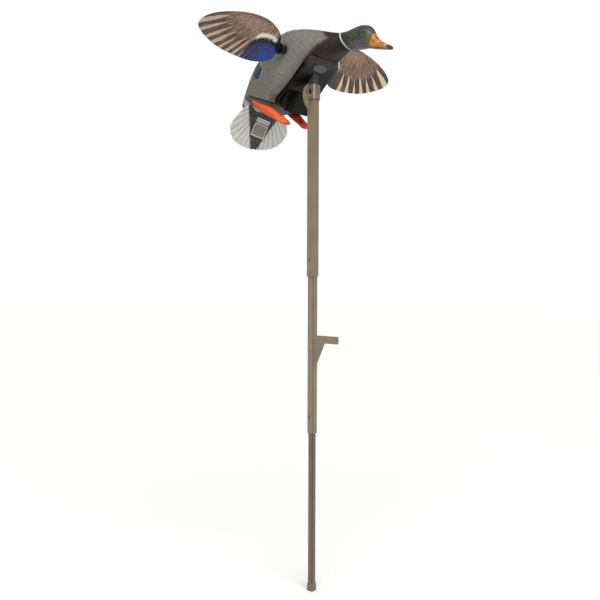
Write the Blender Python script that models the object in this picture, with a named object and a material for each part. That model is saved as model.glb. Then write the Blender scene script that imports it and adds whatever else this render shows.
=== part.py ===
"""Motion wing decoy: a spinning-wing drake decoy on a three-section square pole.

World frame: metres, +Z up, origin at the centre of the underside of the pole's foot.
+X is the way the bird heads (and the way the foot step points), +Y is the bird's left.
Bird parts are built in a pitched frame whose origin is the middle of the wing shaft:
its X runs forward along the body, its Y is the bird's left and its Z is the bird's back.
"""
import math

import bmesh
import bpy
from mathutils import Vector

# ---------------------------------------------------------------- driving dimensions
GAP = 0.0003                    # clearance between pieces that touch

TUBE_WALL = 0.0015
LOWER_SIDE = 0.014
MIDDLE_SIDE = 0.018
UPPER_SIDE = 0.022
FOOT_SIDE = 0.0164
FOOT_HEIGHT = 0.020
FOOT_FLOOR = 0.004
MIDDLE_BASE = 0.404
UPPER_BASE = 0.807
OVERLAP = 0.080                 # how far each tube reaches into the next one
UPPER_TOP = 1.2615
BUTTON_ABOVE_JOINT = 0.041

STEP_TOP = 0.656
STEP_HEIGHT = 0.019
STEP_THICKNESS = 0.005
STEP_REACH = 0.082              # from the pole's axis
GUSSET_DROP = 0.058
GUSSET_REACH = 0.029

SLEEVE_OUTER = 0.0258
SLEEVE_INNER = 0.0226
SLEEVE_BASE = 1.260
SLEEVE_TOP = 1.300
POST_SIDE = 0.022
POST_TOP = 1.354
SCREW_HEIGHT = 1.2680
SCREW_RADIUS = 0.004
GRIP_HALF_SPAN = 0.0325
GRIP_DEPTH = 0.021
GRIP_THICKNESS = 0.003

SHAFT_X = -0.024
SHAFT_Z = 1.377
BODY_PITCH = math.radians(44.0)
SHELL = 0.003
SHAFT_RADIUS = 0.0028
SHAFT_HALF_LENGTH = 0.096

NECK_X = 0.103
NECK_Z = 1.394

HOUSING_FRONT = 0.036
HOUSING_REAR = -0.129
HOUSING_FRONT_HALF = 0.0600       # half-width at the front end
HOUSING_REAR_HALF = 0.0700
HOUSING_FRONT_CORNER = 0.016
HOUSING_REAR_CORNER = 0.030
HOUSING_FLOOR = -0.061
HOUSING_RIM = 0.026
HOUSING_WALL = 0.0026
WEDGE_FRONT = -0.070
WEDGE_REAR = -0.1255
WEDGE_DEPTH = -0.091
WEDGE_FRONT_HALF = 0.0600
WEDGE_REAR_HALF = 0.0620
WEDGE_REAR_CORNER = 0.026
WEDGE_CHAMFER = 0.0045
DOOR_HALF_WIDTH = 0.026
DOOR_THICKNESS = 0.003
SOCKET_X = -0.025                 # back from the wedge's front edge, along its slope
SOCKET_Y = -0.048
SOCKET_RADIUS = 0.0052
SOCKET_BORE = 0.0031
SOCKET_STAND = 0.0020
SOCKET_DEPTH = 0.0030

WING_TIP = 0.387
WING_THICKNESS = 0.0016
WING_SET = math.radians(-80.0)  # turn of the wing's chord about the shaft
HUB_START = 0.0895
HUB_END = 0.104
HUB_RADIUS = 0.0125
BUSH_RADIUS = 0.0070
CLIP_HALF = 0.0145               # half the clip's height
CLIP_END = 0.124

TAIL_X = -0.150
TAIL_Z = 1.277
TAIL_TILT = math.radians(24.8)  # how far the fan's lower end leans back
TAIL_THICKNESS = 0.0035
TAIL_FEATHERS = 14
TAIL_SPREAD = math.radians(56.0)  # to the outer edge of the last feather but the side edge
TAIL_ROOT = 0.030
TAIL_SCALLOP = 0.0032
# How far the fan reaches at each turn from its middle, in degrees
TAIL_REACH = (
    (0.0, 0.1355),
    (12.0, 0.1370),
    (24.0, 0.1415),
    (34.0, 0.1450),
    (42.0, 0.1455),
    (48.0, 0.1430),
    (53.0, 0.1375),
    (57.0, 0.1295),
    (61.0, 0.1160),
    (66.0, 0.0960),
    (72.0, 0.0760),
)

# The body's cross-sections, tail to neck: forward, mid-height, back, belly, half-width, tilt
BODY_SECTIONS = (
    (-0.229, 0.054, 0.006, 0.006, 0.014, 12.0),
    (-0.221, 0.050, 0.016, 0.016, 0.030, 10.0),
    (-0.206, 0.040, 0.029, 0.030, 0.045, 7.0),
    (-0.184, 0.029, 0.043, 0.046, 0.060, 4.0),
    (-0.156, 0.021, 0.055, 0.060, 0.075, 2.0),
    (-0.120, 0.017, 0.064, 0.070, 0.089, 0.0),
    (-0.070, 0.016, 0.070, 0.0750, 0.0960, 0.0),
    (-0.020, 0.017, 0.070, 0.0750, 0.0895, 0.0),
    (0.020, 0.009, 0.062, 0.066, 0.083, -2.0),
    (0.046, -0.010, 0.052, 0.054, 0.071, -6.0),
    (0.067, -0.034, 0.042, 0.043, 0.055, -12.0),
    (0.085, -0.056, 0.032, 0.033, 0.040, -17.0),
    (0.096, -0.068, 0.028, 0.028, 0.031, -18.0),
    (0.103, -0.0755, 0.0265, 0.0265, 0.0265, -17.0),
)
BELLY_SQUARENESS = 2.0          # how much squarer than an ellipse the widest belly is
# The head's cross-sections from the neck forward: top x, top z, bottom x, bottom z, half-width
HEAD_SECTIONS = (
    (-0.0115, 0.0240, 0.0125, -0.0230, 0.0262),
    (0.0080, 0.0244, 0.0240, -0.0252, 0.0250),
    (0.0300, 0.0290, 0.0380, -0.0265, 0.0242),
    (0.0500, 0.0320, 0.0520, -0.0272, 0.0240),
    (0.0670, 0.0298, 0.0650, -0.0272, 0.0224),
    (0.0785, 0.0232, 0.0750, -0.0268, 0.0190),
    (0.0856, 0.0125, 0.0830, -0.0240, 0.0150),
    (0.0880, 0.0020, 0.0880, -0.0180, 0.0100),
)
HEAD_HOLLOW_RINGS = 11           # how many of the smoothed rings the hollow takes
BILL_SECTIONS = (
    (0.0760, 0.0130, 0.0700, -0.0270, 0.0140),
    (0.0850, 0.0095, 0.0800, -0.0300, 0.0150),
    (0.0930, -0.0010, 0.0890, -0.0325, 0.0135),
    (0.1030, -0.0125, 0.1010, -0.0350, 0.0125),
    (0.1150, -0.0205, 0.1140, -0.0372, 0.0130),
    (0.1270, -0.0265, 0.1260, -0.0395, 0.0125),
    (0.1345, -0.0310, 0.1340, -0.0405, 0.0085),
    (0.1380, -0.0345, 0.1380, -0.0395, 0.0035),
)
# A leg: forward, out from the middle, height, half-width, half-thickness
LEG_SECTIONS = (
    (-0.153, 0.060, 1.2725, 0.006, 0.006),
    (-0.143, 0.063, 1.2650, 0.009, 0.010),
    (-0.128, 0.062, 1.2545, 0.010, 0.0125),
    (-0.108, 0.057, 1.2405, 0.010, 0.0130),
    (-0.090, 0.051, 1.2275, 0.010, 0.0115),
    (-0.074, 0.046, 1.2155, 0.013, 0.0090),
    (-0.064, 0.042, 1.2080, 0.017, 0.0085),
    (-0.058, 0.041, 1.2035, 0.018, 0.0075),
    (-0.055, 0.041, 1.2010, 0.015, 0.0045),
)
# The wings' outlines in their own plane: distance out from the bird's middle, height over
# the shaft. Both share the leading edge; the left one is broader behind, next to the body.
LEADING_EDGE = (
    (0.108, 0.008),
    (0.111, 0.035),
    (0.150, 0.056),
    (0.205, 0.0605),
    (0.262, 0.054),
    (0.325, 0.039),
    (0.370, 0.019),
    (WING_TIP, -0.001),
    (0.368, -0.020),
    (0.322, -0.038),
)
TRAILING_EDGES = {
    "right": ((0.262, -0.047), (0.205, -0.0495), (0.158, -0.0425), (0.130, -0.030),
              (0.118, -0.013)),
    "left": ((0.262, -0.0545), (0.205, -0.0620), (0.150, -0.0640), (0.114, -0.0600),
             (0.100, -0.0480), (0.1005, -0.0300), (0.1070, -0.0160)),
}

# ---------------------------------------------------------------- finishes
FINISHES = {
    "pole_steel": ((0.30, 0.26, 0.20), 0.50, 0.35),
    "foot_plastic": ((0.16, 0.13, 0.10), 0.65, 0.0),
    "bare_steel": ((0.55, 0.55, 0.53), 0.35, 1.0),
    "black_plastic": ((0.02, 0.02, 0.02), 0.35, 0.0),
    "shell_plastic": ((0.24, 0.23, 0.21), 0.60, 0.0),
    "head_plastic": ((0.03, 0.06, 0.045), 0.35, 0.0),
    "bill_plastic": ((0.70, 0.38, 0.06), 0.40, 0.0),
    "eye_plastic": ((0.02, 0.012, 0.008), 0.10, 0.0),
    "tail_plastic": ((0.75, 0.75, 0.73), 0.60, 0.0),
    "leg_rubber": ((0.85, 0.22, 0.06), 0.50, 0.0),
    "wing_plastic": ((0.28, 0.22, 0.18), 0.55, 0.0),
    "motor_steel": ((0.50, 0.50, 0.50), 0.30, 1.0),
    "brass": ((0.70, 0.52, 0.24), 0.35, 1.0),
    "battery_wrap": ((0.05, 0.09, 0.30), 0.40, 0.0),
    "board": ((0.02, 0.20, 0.08), 0.50, 0.0),
}


def clear_scene():
    for old in list(bpy.data.objects):
        bpy.data.objects.remove(old, do_unlink=True)


def finish(slot):
    """A new material of one of the finishes above."""
    colour, roughness, metallic = FINISHES[slot]
    made = bpy.data.materials.new(slot)
    made.use_nodes = True
    shader = made.node_tree.nodes["Principled BSDF"]
    shader.inputs["Base Color"].default_value = (*colour, 1.0)
    shader.inputs["Roughness"].default_value = roughness
    shader.inputs["Metallic"].default_value = metallic
    return made


def empty(name, location, pitch=0.0):
    made = bpy.data.objects.new(name, None)
    made.location = location
    made.rotation_euler = (0.0, pitch, 0.0)
    bpy.context.scene.collection.objects.link(made)
    return made


def add(name, mesh_maker, slot, parent=None, location=(0, 0, 0), rotation=(0, 0, 0), smooth=None):
    """One named object from a function that fills a bmesh."""
    work = bmesh.new()
    mesh_maker(work)
    bmesh.ops.recalc_face_normals(work, faces=work.faces)
    mesh = bpy.data.meshes.new(name)
    work.to_mesh(mesh)
    work.free()
    if smooth is not None:
        mesh.shade_smooth()
        mesh.set_sharp_from_angle(angle=math.radians(smooth))
    made = bpy.data.objects.new(name, mesh)
    made.location = location
    made.rotation_euler = rotation
    made.parent = parent
    bpy.context.scene.collection.objects.link(made)
    if slot:
        mesh.materials.append(finish(slot))
    return made


def cutter(name, mesh_maker, parent=None, location=(0, 0, 0), rotation=(0, 0, 0)):
    made = add("cut_" + name, mesh_maker, None, parent, location, rotation)
    made.hide_render = True
    made.display_type = "WIRE"
    return made


def cut(piece, tool, operation="DIFFERENCE"):
    boolean = piece.modifiers.new(tool.name, "BOOLEAN")
    boolean.object = tool
    boolean.operation = operation
    boolean.solver = "EXACT"


def soften(piece, width, segments=1, angle=40.0):
    """Bevel the sharp edges of a piece."""
    bevel = piece.modifiers.new("soft edges", "BEVEL")
    bevel.width = width
    bevel.segments = segments
    bevel.limit_method = "ANGLE"
    bevel.angle_limit = math.radians(angle)


# ---------------------------------------------------------------- mesh makers
def loft(rings):
    """A closed solid through rings that have the same number of points."""
    def fill(work):
        loops = [[work.verts.new(point) for point in ring] for ring in rings]
        count = len(loops[0])
        for near, far in zip(loops, loops[1:]):
            for i in range(count):
                j = (i + 1) % count
                work.faces.new((near[i], near[j], far[j], far[i]))
        work.faces.new(loops[0][::-1])
        work.faces.new(loops[-1])
    return fill


def box(low, high):
    """A box between two corners."""
    (x0, y0, z0), (x1, y1, z1) = low, high
    base = ((x0, y0), (x1, y0), (x1, y1), (x0, y1))
    return loft([[(x, y, z) for x, y in base] for z in (z0, z1)])


def square_profile(levels):
    """A square solid about Z through (height, half-side) levels."""
    corners = ((-1, -1), (1, -1), (1, 1), (-1, 1))
    return loft([[(half * i, half * j, z) for i, j in corners] for z, half in levels])


def turned(profile, sides=16):
    """A solid turned about Y through (y, radius) steps."""
    rings = []
    for y, radius in profile:
        turn = [2 * math.pi * i / sides for i in range(sides)]
        rings.append([(radius * math.cos(t), y, radius * math.sin(t)) for t in turn])
    return loft(rings)


def plate(outline, low, high, place):
    """An outline of (p, q) pairs made solid between two depths; place orders p, q, depth."""
    return loft([[place(p, q, depth) for p, q in outline] for depth in (low, high)])


def smooth_outline(points, steps=4):
    """A closed Catmull-Rom curve through the given points."""
    made = []
    count = len(points)
    for i in range(count):
        p0, p1, p2, p3 = (Vector(points[(i + k) % count]) for k in (-1, 0, 1, 2))
        for step in range(steps):
            t = step / steps
            bend = (2 * p1 + (p2 - p0) * t + (2 * p0 - 5 * p1 + 4 * p2 - p3) * t * t
                    + (3 * p1 - p0 - 3 * p2 + p3) * t ** 3)
            made.append(tuple(bend / 2))
    return made


def smooth_sections(sections, steps=2):
    """More sections between the given ones, on a Catmull-Rom curve through them."""
    made = []
    last = len(sections) - 1
    for i in range(last):
        before, here, after, beyond = (sections[min(max(i + k, 0), last)] for k in (-1, 0, 1, 2))
        for step in range(steps):
            t = step / steps
            made.append(tuple(
                (2 * p1 + (p2 - p0) * t + (2 * p0 - 5 * p1 + 4 * p2 - p3) * t * t
                 + (3 * p1 - p0 - 3 * p2 + p3) * t ** 3) / 2
                for p0, p1, p2, p3 in zip(before, here, after, beyond)))
    made.append(tuple(sections[-1]))
    return made


def rounded_polygon(corners, steps=4):
    """A convex outline from (x, y, radius) corners, given anticlockwise."""
    made = []
    count = len(corners)
    for i in range(count):
        x, y, radius = corners[i]
        corner = Vector((x, y))
        back = (Vector(corners[i - 1][:2]) - corner).normalized()
        ahead = (Vector(corners[(i + 1) % count][:2]) - corner).normalized()
        half_angle = back.angle(ahead) / 2
        middle = corner + (back + ahead).normalized() * (radius / math.sin(half_angle))
        start = corner + back * (radius / math.tan(half_angle)) - middle
        sweep = math.pi - 2 * half_angle
        for step in range(steps + 1):
            turn = sweep * step / steps
            made.append((middle.x + start.x * math.cos(turn) - start.y * math.sin(turn),
                         middle.y + start.x * math.sin(turn) + start.y * math.cos(turn)))
    return made


def upright(radius, base, top, sides=16):
    """A round bar standing along the frame's Z."""
    rings = []
    for z in (base, top):
        turn = [2 * math.pi * i / sides for i in range(sides)]
        rings.append([(radius * math.cos(t), radius * math.sin(t), z) for t in turn])
    return loft(rings)


def rounded_rectangle(x0, x1, half, radius, steps=3):
    """A rounded rectangle from x0 to x1, with corners of one radius."""
    made = []
    corners = ((x1, half, 0), (x0, half, 90), (x0, -half, 180), (x1, -half, 270))
    for x, y, start in corners:
        cx = x - math.copysign(radius, x - (x0 + x1) / 2)
        cy = y - math.copysign(radius, y)
        for step in range(steps + 1):
            turn = math.radians(start + 90 * step / steps)
            made.append((cx + radius * math.cos(turn), cy + radius * math.sin(turn)))
    return made


def body_rings(grow=0.0, sides=32, first=0, tail_shift=0.0):
    """The body's cross-section rings; grow is added all round."""
    rings = []
    sections = smooth_sections(BODY_SECTIONS)[first:]
    for index, (a, mid, back, belly, wide, tilt) in enumerate(sections):
        lean = math.radians(tilt)
        shift = tail_shift if index == 0 else 0.0
        fullness = min(max((wide - 0.03) / 0.06, 0.0), 1.0)
        power = 2.0 / (2.0 + BELLY_SQUARENESS * fullness)
        ring = []
        for i in range(sides):
            turn = 2 * math.pi * i / sides
            rise, spread = math.sin(turn), math.cos(turn)
            if rise < 0:
                rise = -(-rise) ** power
                spread = math.copysign(abs(spread) ** power, spread)
            up = ((back if rise > 0 else belly) + grow) * rise
            side = (wide + grow) * spread
            ring.append((a + shift - up * math.sin(lean), side, mid + up * math.cos(lean)))
        rings.append(ring)
    return rings


def profile_rings(sections, grow=0.0, sides=20):
    """Rings for the head and bill, each between a top and a bottom point."""
    rings = []
    for top_x, top_z, low_x, low_z, wide in smooth_sections(sections):
        middle = Vector(((top_x + low_x) / 2, 0, (top_z + low_z) / 2))
        rise = Vector((top_x, 0, top_z)) - middle
        rise = rise * (1 + grow / rise.length)
        ring = []
        for i in range(sides):
            turn = 2 * math.pi * i / sides
            point = middle + rise * math.sin(turn)
            ring.append((point.x, (wide + grow) * math.cos(turn), point.z))
        rings.append(ring)
    return rings


# ---------------------------------------------------------------- the pole
def tube(name, side, base, top, slot="pole_steel"):
    """A square tube with its bore open at both ends."""
    made = add(name, square_profile(((base, side / 2), (top, side / 2))), slot)
    soften(made, 0.0008)
    bore = side / 2 - TUBE_WALL
    cut(made, cutter(name + "_bore", square_profile(((base - 0.01, bore), (top + 0.01, bore)))))
    return made


def button_hole(piece, name, height, depth):
    """The round hole that a snap button looks through, in the -Y wall."""
    hole = turned(((-depth - 0.004, 0.004), (-0.003, 0.004)))
    cut(piece, cutter(name, hole, location=(0, 0, height)))


def snap_button(name, side, height):
    """A domed button behind its hole, and the J-shaped leaf spring that carries it."""
    wall = side / 2 - TUBE_WALL
    crown = side / 2 + 0.00035
    profile = [(-wall + GAP + 0.0018, 0.0042), (-wall + GAP, 0.0042), (-wall + GAP, 0.0035)]
    dome = 0.0009
    for turn in (10, 40, 65, 85):
        angle = math.radians(turn)
        profile.append((-crown + dome * (1 - math.sin(angle)), 0.0035 * math.cos(angle)))
    add(name, turned(profile), "bare_steel", location=(0, 0, height), smooth=40)
    leaf = 0.0006
    back = wall - GAP
    front = -wall + 0.0030
    inner = ((back - leaf, 0.002), (back - leaf, -0.024), (back - leaf - 0.002, -0.0264))
    outer = ((back, 0.002), (back, -0.0243), (back - 0.0018, -0.027))
    free_inner = ((front + leaf + 0.001, -0.0264), (front + leaf, -0.008))
    free_outer = ((front + 0.001, -0.027), (front, -0.008))
    outline = outer + free_outer + free_inner[::-1] + inner[::-1]
    strip = plate(outline, -0.0035, 0.0035, lambda y, z, x: (x, y, z))
    add(name + "_spring", strip, "bare_steel", location=(0, 0, height))


def build_pole():
    ribs = [(0.0, 0.0078), (0.0006, 0.0082)]
    for rib in range(4):
        height = 0.0030 + rib * 0.0042
        ribs += [(height, 0.0082), (height + 0.0006, 0.0079), (height + 0.0020, 0.0079)]
        ribs += [(height + 0.0026, 0.0082)]
    ribs += [(FOOT_HEIGHT - 0.0006, FOOT_SIDE / 2), (FOOT_HEIGHT, 0.0078)]
    foot = add("foot_cap", square_profile(ribs), "foot_plastic")
    socket = LOWER_SIDE / 2 + GAP
    levels = ((FOOT_FLOOR, socket), (FOOT_HEIGHT + 0.01, socket))
    cut(foot, cutter("foot_socket", square_profile(levels)))

    lower = tube("lower_tube", LOWER_SIDE, FOOT_FLOOR + GAP, MIDDLE_BASE + OVERLAP)
    middle = tube("middle_tube", MIDDLE_SIDE, MIDDLE_BASE, UPPER_BASE + OVERLAP)
    upper = tube("upper_tube", UPPER_SIDE, UPPER_BASE, UPPER_TOP)
    low_button = MIDDLE_BASE + BUTTON_ABOVE_JOINT
    high_button = UPPER_BASE + BUTTON_ABOVE_JOINT
    button_hole(lower, "lower_inner_hole", low_button, LOWER_SIDE / 2)
    button_hole(middle, "lower_outer_hole", low_button, MIDDLE_SIDE / 2)
    button_hole(middle, "upper_inner_hole", high_button, MIDDLE_SIDE / 2)
    button_hole(upper, "upper_outer_hole", high_button, UPPER_SIDE / 2)
    snap_button("lower_button", LOWER_SIDE, low_button)
    snap_button("upper_button", MIDDLE_SIDE, high_button)

    face = MIDDLE_SIDE / 2 + GAP
    half = STEP_THICKNESS / 2
    bar = box((face, -half, STEP_TOP - STEP_HEIGHT), (STEP_REACH, half, STEP_TOP))
    soften(add("step_bar", bar, "pole_steel"), 0.0006)
    under = STEP_TOP - STEP_HEIGHT - GAP
    web = ((face, under), (face, under - GUSSET_DROP), (face + 0.003, under - GUSSET_DROP),
           (face + GUSSET_REACH, under - 0.002), (face + GUSSET_REACH, under))
    add("step_gusset", plate(web, -0.0015, 0.0015, lambda x, z, y: (x, y, z)), "pole_steel")


def grip_outline(flat, half_span, depth):
    """A circular segment with its straight side at y = flat, bulging towards -Y."""
    radius = (half_span ** 2 + depth ** 2) / (2 * depth)
    sweep = math.asin(half_span / radius)
    outline = []
    for step in range(15):
        turn = sweep * (2 * step / 14 - 1)
        outline.append((flat - depth + radius * (1 - math.cos(turn)), radius * math.sin(turn)))
    return outline


def build_coupler():
    """The sleeve at the pole's top with its weld nut and wing screw."""
    half = SLEEVE_OUTER / 2
    levels = ((SLEEVE_BASE, half), (SLEEVE_TOP, half))
    sleeve = add("coupler_sleeve", square_profile(levels), "pole_steel")
    soften(sleeve, 0.0010)
    bore = SLEEVE_INNER / 2
    levels = ((SLEEVE_BASE - 0.01, bore), (SLEEVE_TOP + 0.01, bore))
    cut(sleeve, cutter("sleeve_bore", square_profile(levels)))
    passage = turned(((-0.030, SCREW_RADIUS + GAP), (-0.005, SCREW_RADIUS + GAP)))
    hole = cutter("screw_passage", passage, location=(0, 0, SCREW_HEIGHT))
    cut(sleeve, hole)
    nut_back = -half - GAP
    nut = add("weld_nut", turned(((nut_back - 0.0055, 0.0075), (nut_back, 0.0075)), 6),
              "pole_steel", location=(0, 0, SCREW_HEIGHT))
    cut(nut, hole)

    tip = -POST_SIDE / 2 - GAP
    flat = nut_back - 0.0068
    shank = turned(((flat - 0.006, SCREW_RADIUS), (tip - 0.001, SCREW_RADIUS), (tip, 0.0030)))
    screw = add("wing_screw", shank, "pole_steel", location=(0, 0, SCREW_HEIGHT), smooth=40)
    grip = GRIP_THICKNESS / 2
    blade = plate(grip_outline(flat, GRIP_HALF_SPAN, GRIP_DEPTH), -grip, grip,
                  lambda y, z, x: (x, y, z))
    cut(screw, cutter("screw_grip", blade, location=(0, 0, SCREW_HEIGHT)), "UNION")
    eye_hole = rounded_polygon(((flat - 0.0125, 0.0060, 0.003), (flat - 0.0035, 0.0060, 0.003),
                                (flat - 0.0035, 0.0245, 0.003), (flat - 0.0095, 0.0245, 0.003)))
    eye_hole = plate(eye_hole, -0.01, 0.01, lambda y, z, x: (x, y, z))
    cut(screw, cutter("grip_eye", eye_hole, location=(0, 0, SCREW_HEIGHT)))


# ---------------------------------------------------------------- the bird's outside
def tray_ring(height, grow=0.0):
    """The belly tray's outline at one height, wider behind than in front."""
    front, rear = HOUSING_FRONT + grow, HOUSING_REAR - grow
    narrow, broad = HOUSING_FRONT_HALF + grow, HOUSING_REAR_HALF + grow
    nose, heel = HOUSING_FRONT_CORNER + grow, HOUSING_REAR_CORNER + grow
    corners = ((front, -narrow, nose), (front, narrow, nose),
               (rear, broad, heel), (rear, -broad, heel))
    return [(x, y, height) for x, y in rounded_polygon(corners)]


def build_body(bird):
    """The hollow shell, open at the neck, under the belly and at the shaft."""
    shell = add("body_shell", loft(body_rings()), "shell_plastic", bird, smooth=50)
    inside = body_rings(-SHELL, first=2, tail_shift=0.004)
    push = 0.012
    lean = math.radians(BODY_SECTIONS[-1][-1])
    inside.append([(x + push * math.cos(lean), y, z + push * math.sin(lean))
                   for x, y, z in inside[-1]])
    cut(shell, cutter("body_hollow", loft(inside), bird))
    opening = loft([tray_ring(-0.09, 0.0015), tray_ring(0.0, 0.0015)])
    cut(shell, cutter("belly_opening", opening, bird))
    room = BUSH_RADIUS + 0.0004
    hole = turned(((-0.12, room), (0.12, room)))
    cut(shell, cutter("shaft_holes", hole, bird))
    return cutter("body_outside", loft(body_rings(GAP)), bird)


def build_head():
    """The head plugs into the neck; bill and eyes are seated on its outside."""
    frame = empty("head_frame", (NECK_X, 0, NECK_Z))
    rings = profile_rings(HEAD_SECTIONS)
    ring_top = Vector((HEAD_SECTIONS[0][0], 0, HEAD_SECTIONS[0][1]))
    ring_low = Vector((HEAD_SECTIONS[0][2], 0, HEAD_SECTIONS[0][3]))
    rise = (ring_top - ring_low).normalized()
    back = Vector((-rise.z, 0, rise.x))

    def moved(ring, distance):
        return [tuple(Vector(point) + back * distance) for point in ring]

    spigot = profile_rings(HEAD_SECTIONS, -SHELL - 0.0018)[0]
    plug = 0.003
    outside = [moved(spigot, plug), moved(spigot, -2 * GAP), moved(rings[0], -2 * GAP)] + rings[1:]
    head = add("head", loft(outside), "head_plastic", frame, smooth=50)
    core = profile_rings(HEAD_SECTIONS, -2 * SHELL)
    hollow = [moved(core[0], plug + 0.01)] + core[:HEAD_HOLLOW_RINGS]
    cut(head, cutter("head_hollow", loft(hollow), frame))

    outside_head = cutter("head_outside", loft(profile_rings(HEAD_SECTIONS, GAP)), frame)
    bill = add("bill", loft(profile_rings(BILL_SECTIONS)), "bill_plastic", frame, smooth=50)
    cut(bill, outside_head)
    for side, label in ((-1, "right"), (1, "left")):
        radius = 0.0048
        lathe = [(radius * math.sin(math.radians(t)), radius * math.cos(math.radians(t)))
                 for t in (-86, -60, -30, 0, 30, 60, 86)]
        eye = add(label + "_eye", turned(lathe, 14), "eye_plastic", frame,
                  location=(0.0705, side * 0.0188, 0.0100), smooth=60)
        cut(eye, outside_head)


def fan_point(turn, radius):
    """A point of the tail in its own frame: the fan opens downwards in the Y-Z plane."""
    return radius * math.sin(turn), -radius * math.cos(turn)


def build_tail(outside_body):
    """A spread fan with a scalloped end, one scallop to a feather."""
    def reach(turn):
        """The reach between the table's rows, by straight lines."""
        turn = math.degrees(abs(turn))
        for (t0, r0), (t1, r1) in zip(TAIL_REACH, TAIL_REACH[1:]):
            if turn <= t1:
                return r0 + (r1 - r0) * (turn - t0) / (t1 - t0)
        return TAIL_REACH[-1][1]

    outline = []
    for feather in range(TAIL_FEATHERS):
        for part in range(4):
            turn = TAIL_SPREAD * (2 * (feather + part / 4) / TAIL_FEATHERS - 1)
            scallop = TAIL_SCALLOP * math.sin(math.pi * part / 4)
            outline.append(fan_point(turn, reach(turn) + scallop))
    side_edge = [fan_point(math.radians(turn), far) for turn, far in TAIL_REACH[-4:]]
    root = math.radians(TAIL_REACH[-1][0])
    outline += side_edge + [fan_point(root, TAIL_ROOT), fan_point(-root, TAIL_ROOT)]
    outline += [(-y, z) for y, z in reversed(side_edge)]
    half = TAIL_THICKNESS / 2
    tail = add("tail_fan", plate(outline, -half, half, lambda y, z, x: (x, y, z)),
               "tail_plastic", location=(TAIL_X, 0, TAIL_Z), rotation=(0, TAIL_TILT, 0))
    cut(tail, outside_body)


def build_legs(outside_body):
    for side, label in ((-1, "right"), (1, "left")):
        rings = []
        sections = smooth_sections(LEG_SECTIONS)
        points = [Vector((x, 0, z)) for x, out, z, wide, thick in sections]
        for index, (x, out, z, wide, thick) in enumerate(sections):
            before = points[max(index - 1, 0)]
            after = points[min(index + 1, len(points) - 1)]
            along = (after - before).normalized()
            normal = Vector((-along.z, 0, along.x))
            ring = []
            for i in range(12):
                turn = 2 * math.pi * i / 12
                point = points[index] + normal * thick * math.sin(turn)
                ring.append((point.x, side * out + wide * math.cos(turn), point.z))
            rings.append(ring)
        leg = add(label + "_leg", loft(rings), "leg_rubber", smooth=50)
        cut(leg, outside_body)


# ---------------------------------------------------------------- the belly housing
def build_wedge():
    """The bulge for the batteries, sunk a little into the tray's floor, with its lower edges
    cut back."""
    slope = (WEDGE_DEPTH - HOUSING_FLOOR) / (WEDGE_REAR - WEDGE_FRONT)
    top = HOUSING_FLOOR + 0.0012

    def footprint(inset):
        front, rear = WEDGE_FRONT, WEDGE_REAR + inset
        narrow, broad = WEDGE_FRONT_HALF - inset, WEDGE_REAR_HALF - inset
        heel = WEDGE_REAR_CORNER - inset
        return rounded_polygon(((front, -narrow, 0.003), (front, narrow, 0.003),
                                (rear, broad, heel), (rear, -broad, heel)))

    full = footprint(0.0)
    rings = [[(x, y, top) for x, y in full]]
    for outline, share in ((full, 0.35), (footprint(WEDGE_CHAMFER), 0.0)):
        ring = []
        for x, y in outline:
            low = HOUSING_FLOOR + slope * (x - WEDGE_FRONT)
            ring.append((x, y, low + share * (top - low)))
        rings.append(ring)
    return loft(rings)


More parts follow.
